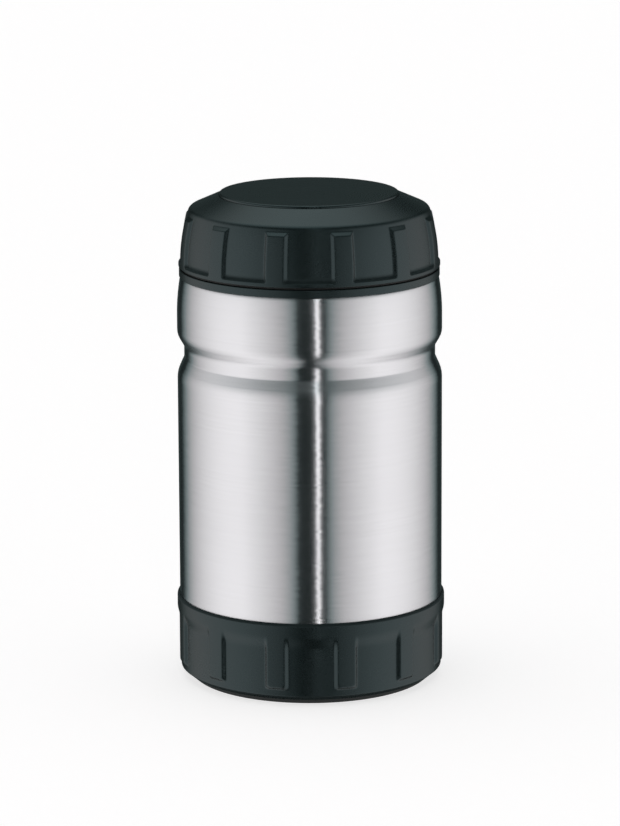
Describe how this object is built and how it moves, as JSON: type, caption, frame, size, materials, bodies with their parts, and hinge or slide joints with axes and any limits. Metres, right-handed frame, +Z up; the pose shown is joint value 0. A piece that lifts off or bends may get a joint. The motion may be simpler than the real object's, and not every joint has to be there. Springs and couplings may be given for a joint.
{
  "type": "insulated food jar",
  "caption": "Wide vacuum-walled steel food jar with a ribbed screw lid that serves as a bowl, an insulated screw stopper with a release valve, and a ribbed base cup.",
  "frame": {"origin": "centre of the foot ring's resting face, on the jar's axis", "axes": "+Z up along the jar's axis; the jar is round, and -Y is the side that faces the viewer"},
  "size_m": [0.1102, 0.1102, 0.2012],
  "materials": {
    "brushed_steel": "satin",
    "plain_steel": "satin",
    "copper": "satin",
    "black_plastic": "satin",
    "charcoal_plastic": "satin",
    "grey_plastic": "satin",
    "black_rubber": "matte",
    "silicone": "matte",
    "foam": "matte",
    "spring_wire": "satin"
  },
  "bodies": {
    "jar": {"outer_shell": "brushed_steel", "outer_bottom": "plain_steel", "inner_vessel": "plain_steel", "copper_foil": "copper", "getter": "plain_steel", "vacuum_seal": "plain_steel", "neck_collar": "black_plastic", "base_cup": "black_plastic", "foot_ring": "black_rubber"},
    "stopper_ring": {"stopper_seal": "silicone"},
    "stopper": {"stopper_barrel": "charcoal_plastic", "stopper_cover": "charcoal_plastic", "stopper_foam": "foam", "valve_spring": "spring_wire"},
    "valve": {"valve_button": "grey_plastic", "valve_stem": "charcoal_plastic", "valve_gasket": "silicone", "valve_nut": "charcoal_plastic"},
    "lid_ring": {"lid_gasket": "black_rubber"},
    "lid": {"lid_shell": "black_plastic", "lid_liner": "charcoal_plastic", "lid_disc": "black_plastic"}
  },
  "joints": [
    {"name": "stopper_rise", "type": "slide", "parent": "jar", "child": "stopper_ring", "axis": [0, 0, 1], "range_m": [0, 0.045]},
    {"name": "stopper_turn", "type": "hinge", "parent": "stopper_ring", "child": "stopper", "pos_m": [0, 0, 0.18], "axis": [0, 0, 1], "range_deg": [0, 1080]},
    {"name": "valve_press", "type": "slide", "parent": "stopper", "child": "valve", "axis": [0, 0, -1], "range_m": [0, 0.003], "stiffness_N_per_m": 200, "springref_m": -0.01, "deforming": ["valve_spring"]},
    {"name": "lid_rise", "type": "slide", "parent": "stopper", "child": "lid_ring", "axis": [0, 0, 1], "range_m": [0, 0.045]},
    {"name": "lid_turn", "type": "hinge", "parent": "lid_ring", "child": "lid", "pos_m": [0, 0, 0.185], "axis": [0, 0, 1], "range_deg": [0, 1080]}
  ],
  "couplings": [
    {"joint": "stopper_rise", "follows": "stopper_turn", "m_per_rad": 0.0023873},
    {"joint": "lid_rise", "follows": "lid_turn", "m_per_rad": 0.0023873}
  ]
}
